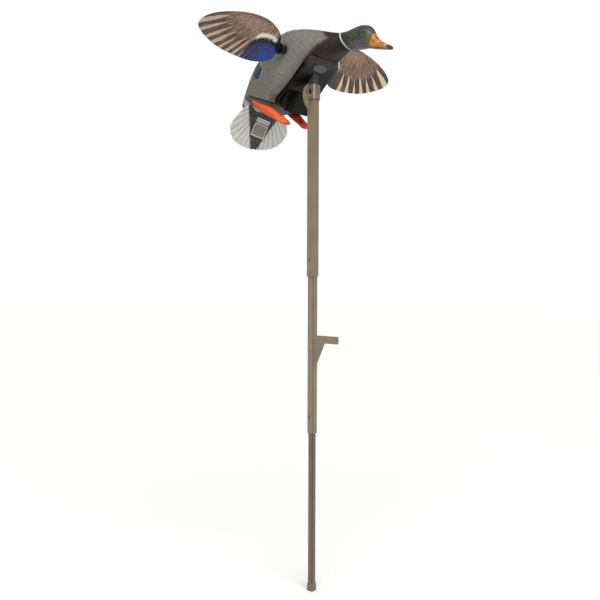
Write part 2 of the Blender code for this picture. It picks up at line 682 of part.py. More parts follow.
def build_housing(bird, post_clearance):
    """A tray let into the belly, with a bulge behind for the batteries."""
    levels = [tray_ring(HOUSING_FLOOR, -0.0026), tray_ring(HOUSING_FLOOR + 0.0009, -0.0008),
              tray_ring(HOUSING_FLOOR + 0.0030), tray_ring(HOUSING_RIM)]
    housing = add("belly_housing", loft(levels), "black_plastic", bird, smooth=30)
    cut(housing, cutter("wedge", build_wedge(), bird), "UNION")
    wall = HOUSING_WALL
    cavity = loft([tray_ring(HOUSING_FLOOR + wall, -wall), tray_ring(HOUSING_RIM + 0.01, -wall)])
    cut(housing, cutter("housing_cavity", cavity, bird))
    cut(housing, post_clearance)
    shaft_way = SHAFT_RADIUS + 0.0017
    way = turned(((-HOUSING_REAR_HALF, shaft_way), (HOUSING_REAR_HALF, shaft_way)))
    cut(housing, cutter("housing_shaft_way", way, bird))

    slope = math.atan2(HOUSING_FLOOR - WEDGE_DEPTH, WEDGE_FRONT - WEDGE_REAR)
    run = (WEDGE_FRONT - WEDGE_REAR - WEDGE_CHAMFER) / math.cos(slope)
    door_frame = empty("door_frame", (WEDGE_FRONT, 0, HOUSING_FLOOR), -slope)
    door_frame.parent = bird
    socket_place = (SOCKET_X, SOCKET_Y, 0)
    boss = cutter("socket_boss", upright(SOCKET_RADIUS, -SOCKET_STAND, 0.001), door_frame, socket_place)
    cut(housing, boss, "UNION")
    plug_hole = upright(SOCKET_BORE, -SOCKET_STAND - 0.001, SOCKET_DEPTH)
    cut(housing, cutter("socket_bore", plug_hole, door_frame, socket_place))
    lip = 0.003
    channel = 0.0014
    bay = box((-run + 0.008, -DOOR_HALF_WIDTH + lip, -0.001), (-0.006, DOOR_HALF_WIDTH - lip, 0.05))
    cut(housing, cutter("battery_bay", bay, door_frame))
    run_out = 0.01
    recess = box((-run - run_out, -DOOR_HALF_WIDTH, -0.001),
                 (-0.0042, DOOR_HALF_WIDTH, DOOR_THICKNESS - 0.0005))
    cut(housing, cutter("door_recess", recess, door_frame))
    reach = DOOR_HALF_WIDTH + lip
    grooves = box((-run - run_out - 0.002, -reach, channel), (-0.004, reach, DOOR_THICKNESS + GAP))
    cut(housing, cutter("door_grooves", grooves, door_frame))

    face = DOOR_HALF_WIDTH - GAP
    flange = reach - GAP
    low = channel + GAP
    section = ((-face, 0.0), (face, 0.0), (face, low), (flange, low), (flange, DOOR_THICKNESS),
               (-flange, DOOR_THICKNESS), (-flange, low), (-face, low))
    front = -0.004 - GAP
    door = add("battery_door", plate(section, -run + 0.0005, front, lambda y, z, x: (x, y, z)),
               "black_plastic", door_frame)
    latch_x = -0.014
    seat = 0.0062
    cut(door, cutter("latch_seat", upright(seat, -0.001, 0.0017), door_frame, (latch_x, 0, 0)))
    cut(door, cutter("latch_bore", upright(0.0026, -0.001, 0.01), door_frame, (latch_x, 0, 0)))
    latch = add("door_latch", upright(seat - GAP, 0.0002, 0.0014), "black_plastic",
                door_frame, (latch_x, 0, 0), smooth=40)
    spindle = upright(0.0023, 0.0010, DOOR_THICKNESS + 0.0022)
    cut(latch, cutter("latch_spindle", spindle, door_frame, (latch_x, 0, 0)), "UNION")
    rib = box((-0.0050, -0.0008, -0.0014), (0.0050, 0.0008, 0.0006))
    cut(latch, cutter("latch_rib", rib, door_frame, (latch_x, 0, 0)), "UNION")
    return housing


def build_drive(bird, housing, post_clearance):
    """Motor, batteries, switch, board and the fixings inside the bird."""
    motor_radius = 0.0150
    bore = SHAFT_RADIUS + 0.0005
    can = [(-0.023, 0.0060), (-0.0225, 0.0060), (-0.0205, 0.0060), (-0.0205, 0.0140),
           (-0.0195, motor_radius), (0.0195, motor_radius), (0.0205, 0.0140),
           (0.0205, 0.0060), (0.023, 0.0060)]
    motor = add("motor", turned(can, 24), "motor_steel", bird, smooth=35)
    cut(motor, cutter("motor_bore", turned(((-0.03, bore), (0.03, bore))), bird))
    floor = HOUSING_FLOOR + HOUSING_WALL + GAP
    cradle = add("motor_cradle", box((-0.028, -0.0155, floor), (0.028, 0.0155, -0.004)),
                 "black_plastic", bird)
    seat = motor_radius + GAP
    cut(cradle, cutter("cradle_seat", turned(((-0.03, seat), (0.03, seat)), 24), bird))
    cut(cradle, post_clearance)

    pack = rounded_rectangle(-0.116, -0.038, 0.0235, 0.004)
    battery = add("battery_pack", plate(pack, -0.0560, -0.001, lambda x, y, z: (x, y, z)),
                  "battery_wrap", bird, smooth=30)
    soften(battery, 0.0012)
    for side, label in ((-1, "right"), (1, "left")):
        y = side * 0.012
        contact = box((-0.0360, y - 0.004, -0.040), (-0.0354, y + 0.004, -0.014))
        add(label + "_contact", contact, "brass", bird)
    board = box((-0.030, 0.0370, -0.050), (0.022, 0.0386, -0.008))
    add("receiver_board", board, "board", bird)

    switch_at = (0.010, -0.029)
    window = box((-0.0070, -0.0048, -0.01), (0.0070, 0.0048, 0.02))
    spot = (switch_at[0], switch_at[1], HOUSING_FLOOR)
    cut(housing, cutter("switch_window", window, bird, spot))
    inner = HOUSING_WALL + GAP
    body = add("switch_body", box((-0.0082, -0.0060, inner), (0.0082, 0.0060, 0.015)),
               "black_plastic", bird, spot)
    well = box((-0.0066, -0.0044, 0.0), (0.0066, 0.0044, 0.0105))
    cut(body, cutter("switch_well", well, bird, spot))
    pivot = 0.0040
    cap = []
    for turn in (150, 165, 180, 195, 210):
        angle = math.radians(turn)
        cap.append((0.0062 * math.sin(angle) * 1.6, 0.0050 * math.cos(angle)))
    cap += [(-0.0034, 0.0030), (0.0034, 0.0030)]
    rocker = plate(cap, -0.0038, 0.0038, lambda x, z, y: (x, y, z))
    add("power_rocker", rocker, "black_plastic", bird, (spot[0], spot[1], spot[2] + pivot))

    corners = ((0.028, -0.037), (0.028, 0.037), (-0.061, -0.038), (-0.061, 0.038))
    for number, (x, y) in enumerate(corners, 1):
        place = (x, y, HOUSING_FLOOR)
        hole = cutter("screw_hole_%d" % number, upright(0.0015, -0.01, 0.01, 10), bird, place)
        cut(housing, hole)
        head = add("housing_screw_%d" % number, upright(0.0028, -0.0018, -GAP, 12),
                   "bare_steel", bird, place, smooth=40)
        shank = cutter("screw_shank_%d" % number, upright(0.0012, -0.001, 0.006, 10), bird, place)
        cut(head, shank, "UNION")


# ---------------------------------------------------------------- the wings
def build_wings():
    """Shaft, bushes, hubs and the two pull-off wings."""
    axis = empty("shaft_frame", (SHAFT_X, 0, SHAFT_Z), WING_SET)
    reach = SHAFT_HALF_LENGTH
    rod = [(-reach, SHAFT_RADIUS - 0.0005), (-reach + 0.0005, SHAFT_RADIUS),
           (reach - 0.0005, SHAFT_RADIUS), (reach, SHAFT_RADIUS - 0.0005)]
    add("wing_shaft", turned(rod), "bare_steel", axis, smooth=40)
    for side, label in ((-1, "right"), (1, "left")):
        def out(*profile):
            return [(side * y, radius) for y, radius in profile]
        bush = add(label + "_bush", turned(out((0.072, BUSH_RADIUS), (0.0885, BUSH_RADIUS))),
                   "black_plastic", axis, smooth=40)
        loose = SHAFT_RADIUS + 0.0004
        bore = turned(out((0.05, loose), (HUB_END - 0.001, loose)))
        shaft_room = cutter(label + "_bore", bore, axis)
        cut(bush, shaft_room)
        edge = 0.0015
        hub_profile = out((HUB_START, HUB_RADIUS - edge), (HUB_START + edge, HUB_RADIUS),
                          (HUB_END - edge, HUB_RADIUS), (HUB_END, HUB_RADIUS - edge))
        hub = add(label + "_hub", turned(hub_profile), "black_plastic", axis, smooth=40)
        through = turned(out((HUB_START - 0.01, loose), (HUB_END + 0.01, loose)))
        cut(hub, cutter(label + "_hub_bore", through, axis))

        half = WING_THICKNESS / 2
        outline = [(side * y, r) for y, r in smooth_outline(LEADING_EDGE + TRAILING_EDGES[label])]
        wing = add(label + "_wing", plate(outline, -half, half, lambda y, r, d: (r, y, d)),
                   "wing_plastic", axis, smooth=30)
        start = HUB_END + GAP
        root = rounded_polygon(((start, -CLIP_HALF, 0.0045), (CLIP_END, -CLIP_HALF, 0.0105),
                                (CLIP_END, CLIP_HALF, 0.0105), (start, CLIP_HALF, 0.0045)))
        root = [(side * y, r) for y, r in root]
        clip = add(label + "_wing_clip", plate(root, -0.0036, 0.0036, lambda y, r, d: (r, y, d)),
                   "black_plastic", axis)
        soften(clip, 0.0010)
        inner, outer = side * 0.1060, side * 0.15
        room = ((inner, -0.03), (outer, -0.03), (outer, 0.03), (inner, 0.03))
        slit = plate(room, -half - GAP, half + GAP, lambda y, r, d: (r, y, d))
        cut(clip, cutter(label + "_slit", slit, axis))
        peg = turned(out((SHAFT_HALF_LENGTH + 0.0008, 0.0023), (start + 0.001, 0.0023)))
        cut(clip, cutter(label + "_peg", peg, axis), "UNION")


def build_bird():
    bird = empty("bird_frame", (SHAFT_X, 0, SHAFT_Z), -BODY_PITCH)
    outside_body = build_body(bird)
    build_head()
    build_tail(outside_body)
    build_legs(outside_body)

    half = POST_SIDE / 2
    post_base = UPPER_TOP + GAP
    post = add("mount_post", square_profile(((post_base, half), (POST_TOP, half))), "black_plastic")
    soften(post, 0.0012)
    levels = ((post_base, half + GAP), (POST_TOP + GAP, half + GAP))
    post_clearance = cutter("post_clearance", square_profile(levels))
    housing = build_housing(bird, post_clearance)
    build_drive(bird, housing, post_clearance)
    build_wings()


clear_scene()
build_pole()
build_coupler()
build_bird()
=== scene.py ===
"""Looks of the motion wing decoy: materials, printed feathers, labels, welds, light and camera."""
import math
import bpy
import bmesh
from mathutils import Matrix, Vector


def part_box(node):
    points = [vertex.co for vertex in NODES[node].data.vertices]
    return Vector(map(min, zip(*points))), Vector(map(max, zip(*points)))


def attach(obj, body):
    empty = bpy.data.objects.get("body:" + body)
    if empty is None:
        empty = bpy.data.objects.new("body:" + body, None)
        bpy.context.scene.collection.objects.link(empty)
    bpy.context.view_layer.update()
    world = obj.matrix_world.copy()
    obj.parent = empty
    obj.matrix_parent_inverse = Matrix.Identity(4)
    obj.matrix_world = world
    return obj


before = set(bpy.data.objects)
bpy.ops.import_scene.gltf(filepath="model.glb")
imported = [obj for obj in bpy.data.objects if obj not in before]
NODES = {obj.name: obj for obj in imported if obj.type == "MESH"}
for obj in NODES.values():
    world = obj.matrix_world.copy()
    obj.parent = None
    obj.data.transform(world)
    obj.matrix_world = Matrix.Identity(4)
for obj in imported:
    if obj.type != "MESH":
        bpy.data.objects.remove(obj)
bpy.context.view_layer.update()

# The bird's own axes in the frame, as part.py sets them: forward, left and up
BIRD_ORIGIN = Vector((-0.024, 0.0, 1.377))
BIRD_PITCH = math.radians(44.0)
FORWARD = Vector((math.cos(BIRD_PITCH), 0.0, math.sin(BIRD_PITCH)))
UP = Vector((-math.sin(BIRD_PITCH), 0.0, math.cos(BIRD_PITCH)))
LEFT = Vector((0.0, 1.0, 0.0))
HOUSING_FLOOR = -0.061
HEAD_BASE = 1.394                  # height of the head's own origin, at the neck
EYE_X = 0.1735
EYE_Z = 1.4040
LEG_TOP = 1.2725
TAIL_HALF_THICKNESS = 0.00175
SLEEVE_BASE = 1.260

# The wings' chord, which the shaft holds 80 degrees up
WING_SET = math.radians(80.0)
CHORD = Vector((math.cos(WING_SET), 0.0, math.sin(WING_SET)))
WING_FACE = Vector((math.sin(WING_SET), 0.0, -math.cos(WING_SET)))

# The tail fan's plane
TAIL_ROOT = Vector((-0.150, 0.0, 1.277))
TAIL_TILT = math.radians(24.8)
TAIL_SPREAD = math.radians(56.0)
TAIL_FEATHERS = 14
TAIL_DOWN = Vector((-math.sin(TAIL_TILT), 0.0, -math.cos(TAIL_TILT)))
TAIL_FACE = Vector((math.cos(TAIL_TILT), 0.0, -math.sin(TAIL_TILT)))

MM = 0.001


# ---------------------------------------------------------------- colours and patterns
def tint(red, green, blue):
    """A colour written as 0 to 255 a channel, as a shader takes it."""
    linear = []
    for value in (red, green, blue):
        share = value / 255
        linear.append(share / 12.92 if share <= 0.04045 else ((share + 0.055) / 1.055) ** 2.4)
    return (*linear, 1.0)


class Term:
    """A number or vector on its way through a material, so a pattern reads as a formula."""

    def __init__(self, tree, socket):
        self.tree = tree
        self.socket = socket

    def feed(self, target, source):
        if isinstance(source, Term):
            self.tree.links.new(source.socket, target)
        else:
            target.default_value = source

    def math(self, operation, *others):
        made = self.tree.nodes.new("ShaderNodeMath")
        made.operation = operation
        for target, source in zip(made.inputs, (self, *others)):
            self.feed(target, source)
        return Term(self.tree, made.outputs[0])

    def __add__(self, other):
        return self.math("ADD", other)

    __radd__ = __add__

    def __sub__(self, other):
        return self.math("SUBTRACT", other)

    def __rsub__(self, other):
        return self * -1.0 + other

    def __mul__(self, other):
        return self.math("MULTIPLY", other)

    __rmul__ = __mul__

    def __truediv__(self, other):
        return self.math("DIVIDE", other)

    def size(self):
        return self.math("ABSOLUTE")

    def ramp(self, low, high):
        """0 at low, 1 at high and smooth between; low may be the greater."""
        made = self.tree.nodes.new("ShaderNodeMapRange")
        made.interpolation_type = "SMOOTHSTEP"
        for place, source in ((0, self), (1, low), (2, high)):
            self.feed(made.inputs[place], source)
        return Term(self.tree, made.outputs[0])

    def either(self, other):
        return self.math("MAXIMUM", other)

    def band(self, centre, half, soft):
        """1 within half of centre, falling to 0 over soft."""
        return (self - centre).size().ramp(half + soft, half)

    def cell(self):
        """How far from the nearest whole number, -0.5 to 0.5."""
        return (self + 0.5).math("FRACT") - 0.5


class Paint:
    """A material being written, with the row frame's coordinates at hand."""

    def __init__(self, name, roughness=0.5, metallic=0.0, specular=0.5, coat=0.0):
        self.material = bpy.data.materials.new(name)
        self.material.use_nodes = True
        self.tree = self.material.node_tree
        self.shader = self.tree.nodes["Principled BSDF"]
        self.shader.inputs["Roughness"].default_value = roughness
        self.shader.inputs["Metallic"].default_value = metallic
        self.shader.inputs["Specular IOR Level"].default_value = specular
        self.shader.inputs["Coat Weight"].default_value = coat
        self.shader.inputs["Coat Roughness"].default_value = 0.15
        coordinates = self.tree.nodes.new("ShaderNodeTexCoord")
        self.point = Term(self.tree, coordinates.outputs["Object"])
        self.normal = Term(self.tree, coordinates.outputs["Normal"])
        split = self.tree.nodes.new("ShaderNodeSeparateXYZ")
        self.tree.links.new(self.point.socket, split.inputs[0])
        self.x, self.y, self.z = (Term(self.tree, out) for out in split.outputs)

    def vector(self, operation, first, second):
        made = self.tree.nodes.new("ShaderNodeVectorMath")
        made.operation = operation
        for target, source in zip(made.inputs, (first, second)):
            first.feed(target, source)
        return made

    def along(self, origin, direction):
        """Distance from origin along direction, in metres."""
        away = self.vector("SUBTRACT", self.point, tuple(origin))
        dot = self.vector("DOT_PRODUCT", Term(self.tree, away.outputs[0]), tuple(direction))
        return Term(self.tree, dot.outputs["Value"])

    def facing(self, direction):
        """1 where the surface looks along direction, 0 where it looks the other way."""
        dot = self.vector("DOT_PRODUCT", self.normal, tuple(direction))
        return Term(self.tree, dot.outputs["Value"]).ramp(-0.1, 0.1)

    def stretched(self, stretch):
        scaled = self.vector("MULTIPLY", self.point, tuple(stretch))
        return Term(self.tree, scaled.outputs[0])

    def combined(self, x, y, z=0.0):
        made = self.tree.nodes.new("ShaderNodeCombineXYZ")
        for target, source in zip(made.inputs, (x, y, z)):
            self.point.feed(target, source)
        return Term(self.tree, made.outputs[0])

    def noise(self, scale, detail=4.0, rough=0.55, where=None, distortion=0.0):
        made = self.tree.nodes.new("ShaderNodeTexNoise")
        made.inputs["Scale"].default_value = scale
        made.inputs["Detail"].default_value = detail
        made.inputs["Roughness"].default_value = rough
        made.inputs["Distortion"].default_value = distortion
        self.tree.links.new((where or self.point).socket, made.inputs["Vector"])
        return Term(self.tree, made.outputs["Fac"])

    def mix(self, share, first, second):
        made = self.tree.nodes.new("ShaderNodeMix")
        made.data_type = "RGBA"
        for place, source in ((0, share), (6, first), (7, second)):
            self.point.feed(made.inputs[place], source)
        return Term(self.tree, made.outputs[2])

    def colour(self, source):
        self.point.feed(self.shader.inputs["Base Color"], source)

    def rough(self, source):
        self.point.feed(self.shader.inputs["Roughness"], source)

    def bump(self, height, distance, strength=1.0):
        """Relief of that height, in metres, where the pattern is 1."""
        made = self.tree.nodes.new("ShaderNodeBump")
        made.inputs["Strength"].default_value = strength
        made.inputs["Distance"].default_value = distance
        self.tree.links.new(height.socket, made.inputs["Height"])
        self.tree.links.new(made.outputs[0], self.shader.inputs["Normal"])


# ---------------------------------------------------------------- materials
def pole_paint(name, half, face, corner, shade=0.75, foot=None, shadow_spot=None):
    """Tan paint on square tube: faint streaks, painted light down each corner, a few chips.

    half is half the tube's width, corner the colour of the painted light down its corners
    (painted shade where it is dark, a painted highlight where it is pale), and shade how
    strongly the corners take it.
    foot is the height of a painted shadow line round the tube's lower end, if it has one, and the
    last argument the middle, as (x, z), of a painted shadow that the wing screw's grip casts on its
    right-hand face.
    """
    paint = Paint(name, roughness=0.5, specular=0.3)
    mottle = paint.noise(38, 5)
    streaks = paint.noise(260, 3, where=paint.stretched((1, 1, 0.03)))
    base = paint.mix(mottle.ramp(0.35, 0.7), tint(*[c * 0.93 for c in face]), tint(*face))
    base = paint.mix(streaks.ramp(0.45, 0.75) * 0.35, base, tint(*[c * 1.07 for c in face]))
    # Painted light down each corner: painted shade where the corner colour is dark, a painted highlight
    # where it is pale.
    inner = paint.x.size().math("MINIMUM", paint.y.size())
    edge = inner.ramp(half - 2.4 * MM, half - 1.0 * MM)
    base = paint.mix(edge * shade, base, tint(*corner))
    chips = paint.noise(420, 2, where=paint.stretched((1, 1, 0.22))).ramp(0.735, 0.76)
    worn = chips * paint.noise(14, 2).ramp(0.5, 0.62)
    base = paint.mix(worn, base, tint(172, 166, 156))
    if foot is not None:
        # A painted shadow line just above the tube's lower end, with a little rust higher up.
        foot_shadow = ((paint.z - foot) / MM + (mottle - 0.5) * 2.0).ramp(3.0, 1.4)
        base = paint.mix(foot_shadow * 0.9, base, tint(52, 42, 32))
        rust = ((paint.z - foot) / MM + mottle * 20.0).ramp(22.0, 8.0)
        base = paint.mix(rust * 0.3, base, tint(104, 82, 56))
    # A painted shadow: the wing screw's grip shades this spot on the right-hand face.
    if shadow_spot is not None:
        in_x = (paint.x - shadow_spot[0]) / (6.0 * MM)
        in_z = (paint.z - shadow_spot[1]) / (8.5 * MM)
        grip_shadow = (in_x * in_x + in_z * in_z + mottle * 0.3).ramp(1.4, 0.8)
        grip_shadow = grip_shadow * paint.facing((0.0, -1.0, 0.0))
        base = paint.mix(grip_shadow, base, tint(44, 36, 25))
    paint.colour(base)
    paint.rough(mottle * 0.16 + 0.42 - worn * 0.1)
    paint.bump(paint.noise(900, 2) - worn * 0.8, 0.00012, 0.6)
    return paint.material


def bare_steel():
    """Zinc-plated steel with a faint grain."""
    paint = Paint("zinc_steel", roughness=0.32, metallic=1.0)
    grain = paint.noise(300, 4, where=paint.stretched((1, 1, 6)))
    base = paint.mix(grain, tint(150, 150, 146), tint(192, 190, 184))
    paint.colour(base)
    paint.rough(grain * 0.25 + 0.22)
    paint.bump(grain, 0.00005)
    return paint.material


def moulded_plastic(name, dark, pale, roughness=0.4, grain=900.0, specular=0.4):
    """Moulded plastic: fine spark-eroded grain, faint flow marks and dust."""
    paint = Paint(name, roughness=roughness, specular=specular)
    flow = paint.noise(22, 4, distortion=0.6)
    dust = paint.noise(140, 5, 0.7).ramp(0.5, 0.8)
    base = paint.mix(flow.ramp(0.35, 0.7), tint(*dark), tint(*pale))
    base = paint.mix(dust * 0.18, base, tint(*[min(255, c + 38) for c in pale]))
    paint.colour(base)
    paint.rough(flow * 0.14 + (roughness - 0.07) + dust * 0.08)
    paint.bump(paint.noise(grain, 2), 0.00008, 0.7)
    return paint.material


def housing_plastic():
    """Black tray: a painted brown reflection over its front end, and browner along its lower rear edge.
    """
    paint = Paint("housing_moulding", roughness=0.3, specular=0.13)
    ahead = paint.along(BIRD_ORIGIN, FORWARD) / MM
    flow = paint.noise(22, 4, distortion=0.6)
    dust = paint.noise(140, 5, 0.7).ramp(0.5, 0.8)
    base = paint.mix(flow.ramp(0.35, 0.7), tint(4, 4, 4), tint(9, 8, 8))
    # Painted reflection: the gloss black front end browned, as it catches the room at a grazing angle.
    front = (ahead + flow * 26.0).ramp(2.0, 36.0)
    base = paint.mix(front, base, tint(50, 43, 39))
    rear = (ahead + flow * 8.0).ramp(-112.0, -122.0)
    base = paint.mix(rear * 0.8, base, tint(34, 26, 20))
    base = paint.mix(dust * 0.06, base, tint(70, 66, 62))
    paint.colour(base)
    paint.rough(flow * 0.16 + dust * 0.1 + 0.2)
    paint.bump(paint.noise(900, 2), 0.00008, 0.7)
    return paint.material


class BodyPrint:
    """Where a point lies on the body, in mm along the bird's own axes, and its feathers' noises."""

    def __init__(self, paint):
        self.paint = paint
        self.ahead = paint.along(BIRD_ORIGIN, FORWARD) / MM
        self.up = paint.along(BIRD_ORIGIN, UP) / MM
        self.side = paint.y.size() / MM
        self.wander = (paint.noise(30, 4) - 0.5) * 14.0
        self.fine = paint.noise(560, 4, 0.7, where=paint.stretched((1.0, 0.55, 1.0)))
        self.soft = paint.noise(70, 4, 0.6)
        # Wavy pencilling across each feather, and overlapping rows of them with a pale rim
        waves = (self.ahead + self.wander * 0.3 + self.fine * 1.6) / 2.3
        self.pencil = waves.cell().size().ramp(0.1, 0.4)
        row = (self.ahead + self.wander * 0.25) / 13.0
        shift = (row.math("FLOOR") * 0.5).math("FRACT")
        turn = ((self.side + self.up * 0.5 + self.wander * 0.2) / 11.0 + shift).cell()
        self.rim = (row.math("FRACT") + turn * turn * 1.9).band(0.62, 0.05, 0.22)


def grey_plumage(bird):
    """Pencilled grey, browner along the back, and with painted shade low on the flanks."""
    paint, ahead, up, side = bird.paint, bird.ahead, bird.up, bird.side
    wander, fine, soft = bird.wander, bird.fine, bird.soft
    grey = paint.mix(fine.ramp(0.3, 0.7), tint(76, 75, 69), tint(119, 118, 110))
    grey = paint.mix(bird.pencil * 0.42, grey, tint(134, 132, 124))
    grey = paint.mix(soft.ramp(0.4, 0.75) * 0.5, grey, tint(96, 92, 84))
    grey = paint.mix(bird.rim * 0.22, grey, tint(138, 135, 126))
    back = (up + ahead * 0.12 + wander * 0.6).ramp(48.0, 70.0)
    grey = paint.mix(back * 0.75, grey, tint(68, 62, 56))
    # Painted shade: the flanks darker low down.
    shade = (wander * 0.5 - up).ramp(30.0, 62.0) * side.ramp(40.0, 56.0)
    grey = paint.mix(shade * 0.35, grey, tint(66, 62, 56))
    return grey


def brown_plumage(bird):
    """Dark brown breast feathers."""
    paint, fine = bird.paint, bird.fine
    brown = paint.mix(bird.soft.ramp(0.3, 0.7), tint(22, 16, 15), tint(40, 31, 28))
    brown = paint.mix(fine.ramp(0.55, 0.8) * 0.4, brown, tint(66, 54, 50))
    brown = paint.mix(bird.rim * 0.2, brown, tint(64, 52, 47))
    return brown


def with_folded_wing(bird, plumage):
    """The folded wing's slate-blue corner on each flank, grey-green above and a pale line below."""
    paint, ahead, up, side = bird.paint, bird.ahead, bird.up, bird.side
    floor = (ahead * 0.3 + 40.0).either(ahead * -1.0 - 92.0)
    over = up + bird.wander * 0.15 - floor
    across = ahead.ramp(-114.0, -109.0) * ahead.ramp(-74.0, -79.0) * side.ramp(70.0, 78.0)
    mark = across * over.ramp(-1.0, 1.5) * up.ramp(52.0, 40.0)
    slate = paint.mix((up + bird.fine * 8.0).ramp(26.0, 40.0), tint(38, 52, 76), tint(66, 74, 66))
    plumage = paint.mix(mark * 0.92, plumage, slate)
    plumage = paint.mix(over.band(-2.0, 0.6, 1.2) * across * 0.6, plumage, tint(140, 146, 152))
    return plumage


def with_rear(bird, plumage):
    """Behind the legs: a painted shadow line along each, a grey-brown rump, a pale end and a dark
    saddle.
    """
    paint, ahead, up, side = bird.paint, bird.ahead, bird.up, bird.side
    wander, fine = bird.wander, bird.fine
    behind = ahead + up * 0.5 + wander * 0.25
    rump = paint.mix(fine.ramp(0.35, 0.7), tint(70, 58, 53), tint(100, 86, 79))
    plumage = paint.mix(behind.ramp(-155.0, -160.0) * up.ramp(46.0, 34.0), plumage, rump)
    white = paint.mix(fine.ramp(0.35, 0.7), tint(138, 139, 146), tint(194, 195, 199))
    plumage = paint.mix((ahead + up * 0.2 + wander * 0.6).ramp(-172.0, -184.0), plumage, white)
    notch = (ahead + wander * 0.3).band(-208.0, 2.0, 4.0) * up.band(44.0, 5.0, 8.0)
    plumage = paint.mix(notch * 0.85, plumage, tint(44, 42, 44))
    # Painted shadow: a dark line on the body along each leg's upper side.
    line = behind.band(-152.5, 2.2, 2.4) * up.ramp(30.0, 20.0)
    plumage = paint.mix(line * 0.9, plumage, tint(42, 26, 20))
    under = behind.ramp(-160.0, -168.0) * side.ramp(44.0, 26.0) * (wander - up).ramp(-36.0, -20.0)
    plumage = paint.mix(under * 0.8, plumage, tint(74, 70, 74))
    saddle = (up + wander * 0.6).ramp(46.0, 56.0) * (ahead + wander).ramp(-148.0, -164.0)
    plumage = paint.mix(saddle * 0.9, plumage, paint.mix(fine, tint(20, 22, 21), tint(50, 54, 50)))
    return plumage


def body_feathers():
    """The body's painted plumage, laid out along the bird's own axes."""
    paint = Paint("body_feathers", roughness=0.65, specular=0.2)
    bird = BodyPrint(paint)
    ahead, up, wander = bird.ahead, bird.up, bird.wander
    neck = (ahead + wander * 0.4).ramp(80.0, 92.0)
    low = (wander * 0.5 - up).ramp(45.0, 55.0) * (ahead + wander).ramp(-12.0, 10.0)
    plumage = paint.mix(neck.either(low), grey_plumage(bird), brown_plumage(bird))
    belly = (wander * 0.5 - up).ramp(34.0, 44.0) * ahead.ramp(-96.0, -110.0)
    plumage = paint.mix(belly * 0.6, plumage, tint(78, 64, 57))
    plumage = with_rear(bird, with_folded_wing(bird, plumage))
    paint.colour(plumage)
    paint.rough(bird.soft * 0.15 + 0.55)
    paint.bump(bird.fine * 0.4 + bird.rim * 0.5 + bird.soft * 0.4 + bird.pencil * 0.2, 0.0009, 0.8)
    return paint.material


def head_feathers():
    """Bottle-green head with a purple-brown throat, a pale neck ring and a yellow-green face."""
    paint = Paint("head_feathers", roughness=0.36, specular=0.4, coat=0.1)
    forward = paint.x / MM
    height = (paint.z - HEAD_BASE) / MM
    speck = paint.noise(420, 4, 0.7)
    flecks = paint.noise(900, 3, 0.7, where=paint.stretched((0.6, 1.0, 1.0))).ramp(0.56, 0.7)
    broad = paint.noise(60, 3)
    green = paint.mix(speck.ramp(0.4, 0.66), tint(12, 24, 20), tint(58, 72, 58))
    sheen = (forward + broad * 30.0).ramp(126.0, 150.0) * (height + broad * 12.0).ramp(32.0, 20.0)
    green = paint.mix(sheen * flecks * 0.95, green, tint(150, 164, 140))
    purple = paint.mix(speck.ramp(0.35, 0.65), tint(42, 36, 40), tint(92, 84, 92))
    throat = (height + broad * 14.0).ramp(6.0, -6.0)
    colour = paint.mix(throat, green, purple)
    crown = (height + broad * 6.0).ramp(24.0, 31.0)
    colour = paint.mix(crown * 0.85, colour, paint.mix(speck, tint(34, 35, 32), tint(88, 88, 84)))
    nape = (forward + height * 0.3 + broad * 10.0).ramp(142.0, 124.0)
    colour = paint.mix(nape * 0.8, colour, paint.mix(speck, tint(22, 18, 20), tint(52, 46, 49)))
    face = (forward + broad * 8.0 - height * 0.15).ramp(179.0, 187.0)
    face = face * (height + broad * 6.0).ramp(16.0, 8.0)
    colour = paint.mix(face * 0.7, colour, tint(100, 88, 42))
    cheek = (forward + broad * 12.0 - height * 0.2).ramp(164.0, 180.0)
    colour = paint.mix(cheek * 0.25, colour, tint(50, 64, 40))
    slope = forward + height * 0.51
    ring = (slope + (speck - 0.5) * 1.6).band(106.5, 2.3, 0.9)
    pale = paint.mix(speck, tint(140, 142, 144), tint(206, 206, 206))
    colour = paint.mix(ring, colour, pale)
    colour = paint.mix(slope.ramp(104.2, 103.4), colour, tint(44, 36, 34))
    paint.colour(colour)
    paint.rough(speck * 0.25 + 0.3)
    paint.bump(speck * 0.6 + flecks * 0.3 + ring * 0.5, 0.0006, 0.7)
    return paint.material


